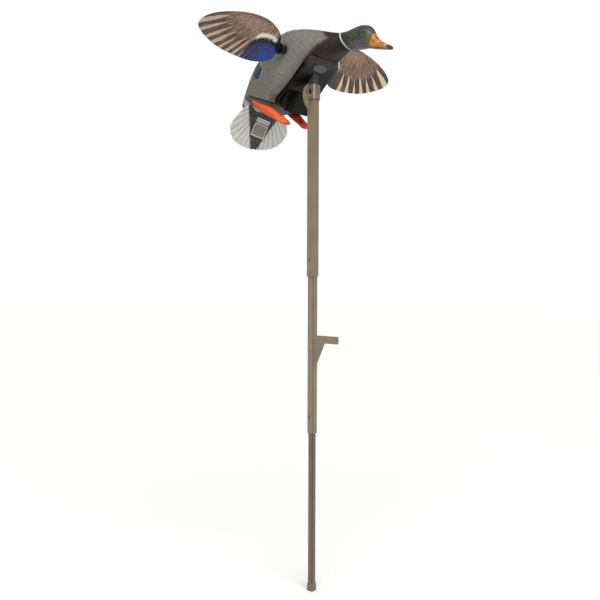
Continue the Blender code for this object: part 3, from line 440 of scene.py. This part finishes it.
def bill_paint():
    """Yellow bill: darker ridge, pale spot behind a dark nail, nostril, and the mouth's seam."""
    paint = Paint("bill_paint", roughness=0.42, specular=0.35)
    forward = paint.x / MM
    height = (paint.z - HEAD_BASE) / MM
    side = paint.y.size() / MM
    soft = paint.noise(90, 4)
    fine = paint.noise(500, 3)
    base = paint.mix(soft.ramp(0.35, 0.7), tint(150, 94, 22), tint(190, 132, 48))
    base = paint.mix(fine.ramp(0.5, 0.75) * 0.3, base, tint(206, 160, 84))
    root = (forward + soft * 6.0).ramp(184.0, 176.0)
    base = paint.mix(root * 0.8, base, tint(112, 104, 44))
    ridge = side.ramp(4.0, 1.0) * forward.ramp(184.0, 196.0)
    base = paint.mix(ridge * 0.5, base, tint(116, 76, 28))
    pale = forward.band(229.0, 3.0, 4.0) * (height + forward * 0.26).ramp(22.0, 25.0)
    base = paint.mix(pale * 0.6, base, tint(200, 160, 118))
    nail = (forward + side * 0.6).ramp(235.5, 238.0)
    base = paint.mix(nail, base, tint(58, 52, 42))
    seam = (height + forward * 0.26 + (soft - 0.5) * 1.5).band(21.2, 0.5, 0.7)
    base = paint.mix(seam * 0.85, base, tint(60, 44, 26))
    lower = (height + forward * 0.26).ramp(20.8, 19.6)
    base = paint.mix(lower * 0.75, base, tint(88, 76, 50))
    hole_x = (forward - 200.5) / 4.6
    hole_z = (height + forward * 0.55 - 103.6) / 1.5
    nostril = (hole_x * hole_x + hole_z * hole_z).ramp(1.2, 0.7)
    base = paint.mix(nostril * 0.9, base, tint(40, 28, 16))
    paint.colour(base)
    paint.rough(soft * 0.2 + 0.34)
    paint.bump(fine * 0.3 - seam - nostril + pale * 0.3, 0.0007, 0.8)
    return paint.material


def eye_gloss():
    """A black pupil in a dark brown iris."""
    paint = Paint("eye_gloss", roughness=0.08, specular=0.6, coat=0.4)
    away_x = (paint.x - EYE_X) / MM
    away_z = (paint.z - EYE_Z) / MM
    distance = (away_x * away_x + away_z * away_z).math("SQRT")
    iris = paint.mix(paint.noise(900, 3), tint(40, 24, 14), tint(60, 38, 22))
    paint.colour(paint.mix(distance.ramp(2.9, 2.5), iris, tint(5, 5, 6)))
    paint.bump(distance.band(2.7, 0.2, 0.3), 0.0002, 0.5)
    return paint.material


def leg_rubber(name, deep, bright, reach):
    """Orange leg: darker towards the thigh and painted darker as shade on its faces that look down and
    back, with scutes across the shank and ribs down the foot.

    reach is how far down the leg, in mm, the darker part goes.
    """
    paint = Paint(name, roughness=0.45, specular=0.4)
    down = (LEG_TOP - paint.z) / MM
    across = paint.y.size() / MM
    soft = paint.noise(110, 4)
    scutes = (down / 3.4 + soft * 0.9).cell().size().ramp(0.34, 0.5)
    foot = down.ramp(50.0, 62.0)
    web = ((across - 41.0) / 8.5).cell().size().ramp(0.3, 0.5) * foot
    base = paint.mix(soft.ramp(0.3, 0.7), tint(*bright), tint(*[min(255, c * 1.12) for c in bright]))
    base = paint.mix((down + soft * 16.0).ramp(reach + 12.0, reach - 6.0), base, tint(*deep))
    # Painted shade on the faces that look down and back.
    lower = paint.facing((-0.5, 0.0, -0.85))
    base = paint.mix(lower * 0.4, base, tint(*deep))
    base = paint.mix(scutes * 0.2, base, tint(*deep))
    base = paint.mix(web * 0.35, base, tint(*deep))
    paint.colour(base)
    paint.rough(soft * 0.2 + 0.35)
    paint.bump(scutes * (foot * -1.0 + 1.0) * -0.7 - web + soft * 0.3, 0.0009, 0.8)
    return paint.material


def tail_feathers():
    """A pale fan: grey furrow between feathers, dusky barbs, and a black centre."""
    paint = Paint("tail_feathers", roughness=0.55, specular=0.4)
    down = paint.along(TAIL_ROOT, TAIL_DOWN) / MM
    across = paint.y / MM
    turn = across.math("ARCTAN2", down)
    out = (across * across + down * down).math("SQRT")
    number = (turn / (2 * TAIL_SPREAD) + 0.5) * TAIL_FEATHERS
    cell = number.cell()
    barbs = paint.noise(1.0, 3, where=paint.combined(number * 3.0, out * 0.9)).ramp(0.35, 0.7)
    # Painted shade: each feather lighter on one side than the other.
    shade = (number.math("FRACT") + (paint.noise(60, 2) - 0.5) * 0.2)
    base = paint.mix(shade, tint(222, 221, 215), tint(186, 186, 180))
    base = paint.mix(barbs * 0.35, base, tint(168, 168, 162))
    furrow = (cell + (paint.noise(40, 2) - 0.5) * 0.06).size().ramp(0.11, 0.02)
    patchy = paint.noise(52, 3).ramp(0.38, 0.62)
    base = paint.mix(furrow * out.ramp(20.0, 60.0) * (patchy * 0.45 + 0.2), base, tint(122, 122, 118))
    shaft = (cell.size() - 0.5).size().ramp(0.05, 0.015)
    base = paint.mix(shaft * 0.4, base, tint(236, 235, 230))
    ragged = (paint.noise(1.0, 4, 0.65, where=paint.combined(turn * 38.0, out * 0.05)) - 0.5) * 22.0
    wedge = (across + 3.0).size() + ragged - (down * -0.5 + 80.0)
    mottled = paint.mix(paint.noise(120, 4, 0.7).ramp(0.4, 0.65), tint(26, 25, 25), tint(74, 71, 70))
    base = paint.mix(wedge.ramp(3.0, -2.0), base, mottled)
    dusk = wedge.ramp(22.0, 0.0) * across.ramp(0.0, 20.0)
    base = paint.mix(dusk * furrow * 0.9, base, tint(52, 52, 50))
    root = (out + paint.noise(90, 4) * 40.0).ramp(88.0, 60.0)
    base = paint.mix(root * 0.75, base, mottled)
    back = paint.facing(-TAIL_FACE)
    plain = paint.mix(barbs * 0.6, tint(206, 203, 196), tint(172, 166, 158))
    plain = paint.mix(furrow * 0.6, plain, tint(120, 112, 104))
    paint.colour(paint.mix(back, base, plain))
    paint.rough(barbs * 0.15 + 0.48)
    paint.bump(barbs * 0.25 - furrow * 0.9 + shaft * 0.4, 0.0012, 0.8)
    return paint.material


class WingPrint:
    """Where a point lies on a wing's print, and the noises its feathers share.

    out and chord are mm from the bird's middle and over the shaft. number counts the streaks
    round the fan, from the outermost, and offset is how far from a streak's middle the point is.
    """

    def __init__(self, paint, side, fan, first, pitch, rows):
        self.paint = paint
        self.out = paint.y * (side / MM)
        self.chord = paint.along(BIRD_ORIGIN, CHORD) / MM
        from_out = self.out - fan[0]
        from_chord = self.chord - fan[1]
        turn = from_chord.math("ARCTAN2", from_out) * (180.0 / math.pi)
        self.distance = (from_out * from_out + from_chord * from_chord).math("SQRT")
        self.number = (first - turn) / pitch
        self.offset = self.number.cell().size()
        self.blur = self.barbs(6.0, 0.05, 5, 0.7)
        self.fine = self.barbs(26.0, 0.07, 4, 0.65)
        self.wisp = self.barbs(rows * 5.0, 0.028, 4, 0.6)

    def barbs(self, across, along, detail, rough):
        """Noise drawn out along the feathers."""
        where = self.paint.combined(self.number * across, self.distance * along)
        return self.paint.noise(1.0, detail, rough, where=where)


def flight_feathers(wing, start, webs, streaks):
    """Long dark webs with a pale streak each, tapered where the coverts end.

    Gives their colour, and how far a point lies past the coverts' edge.
    """
    paint, number, distance, offset = wing.paint, wing.number, wing.distance, wing.offset
    blur, fine, wisp = wing.blur, wing.fine, wing.wisp
    begin = start[0] + number * start[1] + number * number * start[2] + (wisp - 0.5) * start[3]
    past = distance - begin
    width = past.ramp(-4.0, 50.0) * 0.15 + (number * 2.3).math("COSINE") * 0.05 + 0.06
    edge = offset - width + (blur - 0.5) * 0.3
    streak = edge.ramp(0.03, -0.03) * past.ramp(-6.0, 6.0) * number.ramp(-0.7, -0.5)
    dark = paint.mix(fine.ramp(0.35, 0.65), tint(*webs[0]), tint(*webs[1]))
    dark = paint.mix(offset.ramp(0.42, 0.5) * 0.6, dark, tint(42, 32, 28))
    dark = paint.mix(wisp.ramp(0.53, 0.62) * 0.55, dark, tint(150, 122, 102))
    pale = paint.mix(fine.ramp(0.3, 0.7), tint(*streaks[0]), tint(*streaks[1]))
    return paint.mix(streak, dark, pale), past


def coverts(wing, rows):
    """Short overlapping feathers, warm near the wrist, with thin pale and dark wisps."""
    paint, number, distance = wing.paint, wing.number, wing.distance
    out, chord = wing.out, wing.chord
    blur, fine, wisp = wing.blur, wing.fine, wing.wisp
    short = (number * rows + (blur - 0.5) * 0.5).cell().size()
    row = (distance / 17.0 + (number * rows).math("FLOOR") * 0.37).math("FRACT")
    brown = paint.mix(fine.ramp(0.38, 0.62), tint(54, 41, 34), tint(118, 96, 82))
    warm_out = (out - 205.0) / 62.0
    warm_chord = (chord - 42.0) / 24.0
    warm = (warm_out * warm_out + warm_chord * warm_chord).ramp(1.6, 0.1)
    brown = paint.mix(warm * 0.6, brown, tint(150, 118, 98))
    brown = paint.mix(short.ramp(0.36, 0.48) * 0.4, brown, tint(54, 42, 36))
    brown = paint.mix(wisp.ramp(0.5, 0.6) * 0.7, brown, tint(182, 150, 128))
    brown = paint.mix(fine.ramp(0.6, 0.68) * 0.7, brown, tint(206, 180, 152))
    brown = paint.mix(wisp.ramp(0.44, 0.34) * 0.7, brown, tint(38, 27, 23))
    brown = paint.mix(row.ramp(0.86, 1.0) * 0.35, brown, tint(52, 42, 37))
    return brown


def with_blue_patch(wing, plumage, speculum, bar, blues):
    """The blue patch with its pale shaft lines, under a ragged white bar with black teeth."""
    paint, number, out, chord = wing.paint, wing.number, wing.out, wing.chord
    blur, fine = wing.blur, wing.fine
    inner = chord * speculum[1] + speculum[0] - out + (blur - 0.5) * 6.0
    over = chord - (bar[0] - (out - bar[1]) * (out - bar[1]) * bar[2])
    lines = (number * speculum[2] + (blur - 0.5) * 0.25).cell().size()
    blue = paint.mix(inner.ramp(0.0, 26.0), tint(*blues[0]), tint(*blues[1]))
    blue = paint.mix(inner.ramp(26.0, 66.0), blue, tint(*blues[2]))
    blue = paint.mix(fine.ramp(0.4, 0.65) * 0.7, blue, tint(10, 14, 38))
    glint = paint.mix(inner.ramp(20.0, 60.0), tint(112, 108, 146), tint(84, 112, 184))
    blue = paint.mix(lines.ramp(0.11, 0.03) * inner.ramp(4.0, 20.0) * 0.7, blue, glint)
    blue = paint.mix(over.ramp(-26.0, -10.0) * 0.75, blue, tint(20, 19, 30))
    in_patch = inner.ramp(-1.5, 1.5) * over.ramp(-6.0, -9.0)
    plumage = paint.mix(in_patch, plumage, blue)
    spikes = paint.noise(1.0, 3, 0.75, where=paint.combined(number * (speculum[2] * 4.0), 1.7))
    spikes = (spikes - 0.5) * 30.0 + (lines - 0.25) * 10.0
    reach = inner.ramp(-8.0, 4.0)
    plumage = paint.mix((over + spikes * 0.7).band(-9.0, 6.5, 1.5) * reach, plumage, tint(22, 20, 23))
    plumage = paint.mix((over + spikes).band(1.0, bar[3], 1.2) * reach, plumage, tint(212, 207, 192))
    return plumage


def with_dark_edges(wing, plumage):
    """A dark leading edge, and black where the clip holds the wing."""
    paint, out, chord = wing.paint, wing.out, wing.chord
    along = (out - 205.0) / 182.0
    rise = (1.02 - along * along).math("MAXIMUM", 0.05).math("SQRT") * 60.5
    lead = (chord / rise).ramp(0.80, 0.97)
    plumage = paint.mix(lead * 0.75, plumage, tint(70, 62, 57))
    root = (out - 106.0) + (chord - 4.0).size() * 0.45
    plumage = paint.mix(root.ramp(24.0, 14.0), plumage, tint(16, 14, 15))
    return plumage


def wing_feathers(name, side, fan, first, pitch, start, speculum, bar, rows, webs, streaks, blues):
    """A wing's print. fan is the point its feathers spread from, as (out, chord) in mm.

    first and pitch are the turn of the outermost pale streak and the turn from one to the
    next, in degrees; start is how far from the fan the streaks begin, as a quadratic in the
    streak's number, and how ragged that edge is; speculum and bar place the blue patch and
    the white bar over it; rows is how many coverts lie over each streak; webs, streaks and
    blues are the print's colours.
    """
    paint = Paint(name, roughness=0.5, specular=0.4)
    wing = WingPrint(paint, side, fan, first, pitch, rows)
    flight, past = flight_feathers(wing, start, webs, streaks)
    plumage = paint.mix(past.ramp(-5.0, 8.0), coverts(wing, rows), flight)
    plumage = with_blue_patch(wing, plumage, speculum, bar, blues)
    plumage = with_dark_edges(wing, plumage)

    fine, offset = wing.fine, wing.offset
    white = paint.mix(fine.ramp(0.3, 0.8), tint(230, 228, 222), tint(204, 201, 194))
    white = paint.mix(offset.ramp(0.42, 0.5) * 0.5, white, tint(176, 172, 164))
    paint.colour(paint.mix(paint.facing(-WING_FACE), plumage, white))
    paint.rough(fine * 0.15 + 0.42)
    paint.bump(offset.ramp(0.5, 0.4) * 0.5 + fine * 0.4, 0.0004, 0.6)
    return paint.material


def printed_label(name, face, edge, origin, across, down, size):
    """A plain blank sticker: pale border round a slightly cloudy field."""
    paint = Paint(name, roughness=0.35, specular=0.5)
    right = paint.along(origin, across) / MM
    low = paint.along(origin, down) / MM
    from_edge = (size[0] / 2 - right.size()).math("MINIMUM", size[1] / 2 - low.size())
    cloud = paint.noise(70, 4)
    base = paint.mix(cloud.ramp(0.3, 0.75), tint(*face), tint(*[c * 0.86 for c in face]))
    paint.colour(paint.mix(from_edge.ramp(2.6, 1.8), base, tint(*edge)))
    paint.rough(cloud * 0.2 + 0.3)
    paint.bump(paint.noise(260, 3), 0.0001, 0.5)
    return paint.material


def dress(node, material):
    """Gives a CAD node one of the materials above."""
    piece = NODES[node]
    for slot in piece.material_slots:
        slot.material = material


def dress_pole(steel):
    """The three tubes and all that is welded, screwed or pushed on to them."""
    tan = (128, 113, 92)
    olive = (129, 117, 98)
    dusk = (105, 95, 83)
    # Each tube's dark corner colour is painted shade down its corners; the sleeve's pale one is a
    # painted highlight, and the sleeve also takes a painted shadow line at its foot and a painted
    # shadow of the wing screw's grip.
    dress("upper_tube", pole_paint("paint_upper", 11 * MM, tan, (116, 98, 74), 0.5))
    dress("coupler_sleeve", pole_paint("paint_sleeve", 12.9 * MM, (122, 110, 95), (196, 186, 168),
                                       0.8, foot=SLEEVE_BASE, shadow_spot=(-0.0015, 1.2805)))
    dress("middle_tube", pole_paint("paint_middle", 9 * MM, olive, (90, 73, 54)))
    dress("lower_tube", pole_paint("paint_lower", 7 * MM, dusk, (58, 46, 34), 0.85))
    flat = pole_paint("paint_fittings", 1.0, tan, tan)
    for node in ("weld_nut", "wing_screw", "step_bar", "step_gusset"):
        dress(node, flat)
    dress("foot_cap", moulded_plastic("foot_rubber", (100, 88, 77), (120, 108, 96), 0.62))
    for node in ("lower_button", "upper_button", "lower_button_spring", "upper_button_spring"):
        dress(node, steel)


def dress_works(steel):
    """The tray and what it holds, the shaft, and the hubs and clips that carry the wings."""
    for node in ("wing_shaft", "motor"):
        dress(node, steel)
    blackened = moulded_plastic("blackened_steel", (22, 22, 23), (40, 40, 42), 0.3)
    for number in (1, 2, 3, 4):
        dress("housing_screw_%d" % number, blackened)
    black = moulded_plastic("black_moulding", (8, 8, 9), (17, 17, 18), 0.36, specular=0.25)
    for node in ("door_latch", "motor_cradle", "switch_body", "power_rocker", "right_hub", "left_hub",
                 "right_wing_clip", "left_wing_clip", "right_bush", "left_bush"):
        dress(node, black)
    tray = housing_plastic()
    dress("belly_housing", tray)
    dress("battery_door", tray)
    dress("mount_post", moulded_plastic("post_moulding", (46, 46, 50), (64, 62, 66), 0.4, specular=0.3))
    brass = moulded_plastic("brass_parts", (150, 118, 58), (186, 150, 84), 0.32)
    for node in ("right_contact", "left_contact"):
        dress(node, brass)
    dress("battery_pack", moulded_plastic("battery_wrap", (18, 30, 70), (30, 48, 96), 0.3))
    dress("receiver_board", moulded_plastic("board_green", (10, 62, 34), (20, 84, 48), 0.4))


def dress_bird():
    """The painted outside of the bird."""
    dress("body_shell", body_feathers())
    dress("head", head_feathers())
    dress("bill", bill_paint())
    eye = eye_gloss()
    dress("right_eye", eye)
    dress("left_eye", eye)
    dress("tail_fan", tail_feathers())
    dress("right_leg", leg_rubber("leg_orange", (168, 52, 20), (218, 92, 46), 0.0))
    # The far leg is painted darker and redder, its upper part most, as painted shade.
    dress("left_leg", leg_rubber("leg_orange_shaded", (110, 10, 8), (206, 58, 26), 44.0))
    dress("right_wing", wing_feathers(
        "wing_print_right", side=-1, fan=(46.0, 128.0), first=-19.8, pitch=3.0,
        start=(262.0, 6.0, -2.6, 62.0), speculum=(202.0, -0.95, 1.4),
        bar=(19.0, 150.0, 0.0049, 4.2), rows=2.0, webs=((58, 43, 37), (92, 73, 64)),
        streaks=((140, 118, 104), (196, 174, 156)),
        blues=((62, 56, 78), (22, 32, 82), (16, 52, 122))))
    dress("left_wing", wing_feathers(
        "wing_print_left", side=1, fan=(208.0, 100.0), first=-34.6, pitch=12.3,
        start=(136.0, -9.0, 1.1, 34.0), speculum=(143.0, 0.225, 2.0),
        bar=(16.0, 122.0, 0.040, 8.5), rows=3.0, webs=((46, 32, 25), (80, 60, 47)),
        streaks=((170, 148, 122), (224, 204, 176)),
        blues=((58, 60, 78), (46, 54, 78), (40, 54, 86))))


# ---------------------------------------------------------------- pieces
def piece(name, build, material, body, slot, smooth=False):
    """A new mesh object in the row frame, riding on a CAD body."""
    mesh = bpy.data.meshes.new(name)
    work = bmesh.new()
    build(work)
    bmesh.ops.recalc_face_normals(work, faces=work.faces)
    work.to_mesh(mesh)
    work.free()
    for face in mesh.polygons:
        face.use_smooth = smooth
    mesh.materials.append(material)
    made = bpy.data.objects.new(name, mesh)
    bpy.context.scene.collection.objects.link(made)
    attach(made, body)


def sticker(work, centre, across, down, outline, thick):
    """A thin plate whose outline is in (across, down), standing thick off its face."""
    face = across.cross(down)
    base = [centre + across * x + down * y for x, y in outline]
    low = [work.verts.new(point) for point in base]
    high = [work.verts.new(point + face * thick) for point in base]
    inset = [work.verts.new(centre + across * (x * 0.985) + down * (y * 0.985) + face * thick * 1.3)
             for x, y in outline]
    count = len(outline)
    for i in range(count):
        j = (i + 1) % count
        work.faces.new((low[i], low[j], high[j], high[i]))
        work.faces.new((high[i], high[j], inset[j], inset[i]))
    work.faces.new(inset)
    work.faces.new(list(reversed(low)))


def rounded(width, height, radius, steps=5):
    """A rectangle's outline with rounded corners."""
    points = []
    for cx, cy, begin in ((1, 1, 0), (-1, 1, 90), (-1, -1, 180), (1, -1, 270)):
        for i in range(steps + 1):
            turn = math.radians(begin + 90 * i / steps)
            points.append((cx * (width / 2 - radius) + radius * math.cos(turn),
                           cy * (height / 2 - radius) + radius * math.sin(turn)))
    return points


def oval(width, height, steps=40):
    turns = [2 * math.pi * i / steps for i in range(steps)]
    return [(width / 2 * math.cos(turn), height / 2 * math.sin(turn)) for turn in turns]


def weld_bead(work, start, end, radius=0.0012):
    """A row of overlapping lens-shaped puddles along a joint."""
    length = (end - start).length
    along = (end - start) / length
    count = max(3, int(length / (radius * 1.1)))
    other = along.orthogonal().normalized()
    third = along.cross(other)
    rings = []
    for i in range(count * 3 + 1):
        share = i / (count * 3)
        swell = radius * (0.72 + 0.28 * abs(math.sin(math.pi * share * count)))
        if i in (0, count * 3):
            swell *= 0.35
        centre = start + along * length * share
        rings.append([work.verts.new(centre + (other * math.cos(t) + third * math.sin(t)) * swell)
                      for t in (2 * math.pi * k / 8 for k in range(8))])
    for a, b in zip(rings, rings[1:]):
        for k in range(8):
            work.faces.new((a[k], a[(k + 1) % 8], b[(k + 1) % 8], b[k]))
    work.faces.new(rings[0])
    work.faces.new(list(reversed(rings[-1])))


def add_labels():
    """Blank stickers: a strip over a field on the tail's front, and an oval on the belly tray."""
    lean = math.radians(8.0)
    right = LEFT * math.cos(lean) + TAIL_DOWN * math.sin(lean)
    down = TAIL_DOWN * math.cos(lean) - LEFT * math.sin(lean)
    lift = TAIL_HALF_THICKNESS + 0.00035
    middle = TAIL_ROOT - LEFT * 0.001 + TAIL_DOWN * 0.0774 + TAIL_FACE * lift
    wide = 54.0
    thick = 0.0002
    for name, place, tall, face in (("tail_label_strip", -19.2, 12.0, (166, 168, 160)),
                                    ("tail_label_field", 7.2, 36.0, (128, 122, 119))):
        centre = middle + down * (place * MM)
        paint = printed_label(name, face, (210, 207, 200), centre, right, down, (wide, tall))
        outline = rounded(wide * MM, tall * MM, 0.0015)
        piece(name, lambda work: sticker(work, centre, right, down, outline, thick), paint,
              "decoy", "tail_plastic")
    seam = middle - down * (12.0 * MM) + TAIL_FACE * 0.0003
    dark_line = rounded(wide * MM, 3.0 * MM, 0.0004)
    piece("tail_label_gap", lambda work: sticker(work, seam, right, down, dark_line, thick / 2),
          moulded_plastic("label_gap", (26, 18, 18), (40, 28, 28)), "decoy", "tail_plastic")

    spot = BIRD_ORIGIN + FORWARD * 0.006 + UP * (HOUSING_FLOOR - 0.0001)
    dull = printed_label("belly_patch", (72, 60, 54), (92, 80, 72), spot, LEFT, FORWARD, (60.0, 60.0))
    piece("belly_patch", lambda work: sticker(work, spot, -LEFT, FORWARD, oval(0.052, 0.022), thick),
          dull, "decoy", "black_plastic")


def add_welds():
    """Beads along both sides of the foot step's bar and of the gusset under it."""
    bead = pole_paint("paint_weld", 1.0, (150, 136, 116), (150, 136, 116))
    bar_low, bar_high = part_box("step_bar")
    web_low, web_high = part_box("step_gusset")

    def step_welds(work):
        for side in (-1, 1):
            y = side * 0.0024           # just inside the bar's side
            weld_bead(work, Vector((bar_low.x + 0.0001, y, bar_low.z + 0.001)),
                      Vector((bar_low.x + 0.0001, y, bar_high.z - 0.001)))
            y = side * 0.0014           # just inside the gusset's side
            weld_bead(work, Vector((web_low.x + 0.0001, y, web_low.z + 0.002)),
                      Vector((web_low.x + 0.0001, y, web_high.z - 0.003)), 0.0010)
            weld_bead(work, Vector((web_low.x + 0.003, y, bar_low.z - 0.0001)),
                      Vector((web_high.x - 0.002, y, bar_low.z - 0.0001)), 0.0010)

    piece("step_welds", step_welds, bead, "middle_section", "pole_steel", smooth=True)


zinc = bare_steel()
dress_pole(zinc)
dress_works(zinc)
dress_bird()
add_labels()
add_welds()


# ---------------------------------------------------------------- floor, light and camera
def plain(name, colour, roughness):
    """A nearly even paint."""
    paint = Paint(name, roughness=roughness, specular=0.1)
    darker = tint(*[c * 0.97 for c in colour])
    paint.colour(paint.mix(paint.noise(3.0, 2) * 0.15, tint(*colour), darker))
    return paint.material


def add_floor():
    """A wide round floor, a hair below the pole's foot."""
    mesh = bpy.data.meshes.new("floor")
    reach = 14.0
    level = -0.0005
    sides = 64
    turns = [2 * math.pi * i / sides for i in range(sides)]
    rim = [(reach * math.cos(turn), reach * math.sin(turn), level) for turn in turns]
    mesh.from_pydata(rim, [], [tuple(range(sides))])
    mesh.materials.append(plain("floor_pale", (246, 246, 244), 0.8))
    floor = bpy.data.objects.new("floor", mesh)
    bpy.context.scene.collection.objects.link(floor)


def area_light(name, place, target, size, power):
    """A round lamp at place that shines at target."""
    lamp = bpy.data.lights.new(name, "AREA")
    lamp.shape = "DISK"
    lamp.size = size
    lamp.energy = power
    made = bpy.data.objects.new(name, lamp)
    made.location = place
    made.rotation_euler = (Vector(target) - Vector(place)).to_track_quat("-Z", "Y").to_euler()
    bpy.context.scene.collection.objects.link(made)


def add_light():
    """A white room that lights softly, a broad sun from the right, and a lamp for the sheen."""
    world = bpy.data.worlds.new("studio")
    bpy.context.scene.world = world
    world.use_nodes = True
    tree = world.node_tree
    lit = tree.nodes["Background"]
    lit.inputs["Color"].default_value = (1.0, 1.0, 1.0, 1.0)
    lit.inputs["Strength"].default_value = 0.5
    seen = tree.nodes.new("ShaderNodeBackground")
    seen.inputs["Color"].default_value = (1.0, 1.0, 1.0, 1.0)
    seen.inputs["Strength"].default_value = 1.0
    path = tree.nodes.new("ShaderNodeLightPath")
    mix = tree.nodes.new("ShaderNodeMixShader")
    tree.links.new(path.outputs["Is Camera Ray"], mix.inputs[0])
    tree.links.new(lit.outputs[0], mix.inputs[1])
    tree.links.new(seen.outputs[0], mix.inputs[2])
    tree.links.new(mix.outputs[0], tree.nodes["World Output"].inputs["Surface"])
    sun = bpy.data.lights.new("soft_sun", "SUN")
    sun.energy = 2.75
    sun.angle = math.radians(50.0)
    hung = bpy.data.objects.new("soft_sun", sun)
    hung.rotation_euler = Vector((0.55, -0.5, 0.75)).to_track_quat("Z", "Y").to_euler()
    bpy.context.scene.collection.objects.link(hung)
    area_light("sheen", (0.2, -1.9, 1.2), (-0.03, 0.0, 1.3), 0.25, 2.0)


def add_camera():
    """A level view from the bird's right front, a little above the foot step."""
    lens = bpy.data.cameras.new("camera")
    lens.lens = 51.0
    lens.sensor_width = 36.0
    lens.shift_y = -0.0567
    lens.clip_end = 60.0
    made = bpy.data.objects.new("camera", lens)
    look = Vector((-0.6293, 0.7771, 0.0)).to_track_quat("-Z", "Y").to_matrix().to_4x4()
    roll = Matrix.Rotation(math.radians(0.2), 4, "Z")
    made.matrix_world = Matrix.Translation((1.351, -1.720, 0.834)) @ look @ roll
    bpy.context.scene.collection.objects.link(made)
    bpy.context.scene.camera = made


add_floor()
add_light()
add_camera()
bpy.context.scene.view_settings.view_transform = "Standard"
bpy.context.scene.view_settings.look = "None"
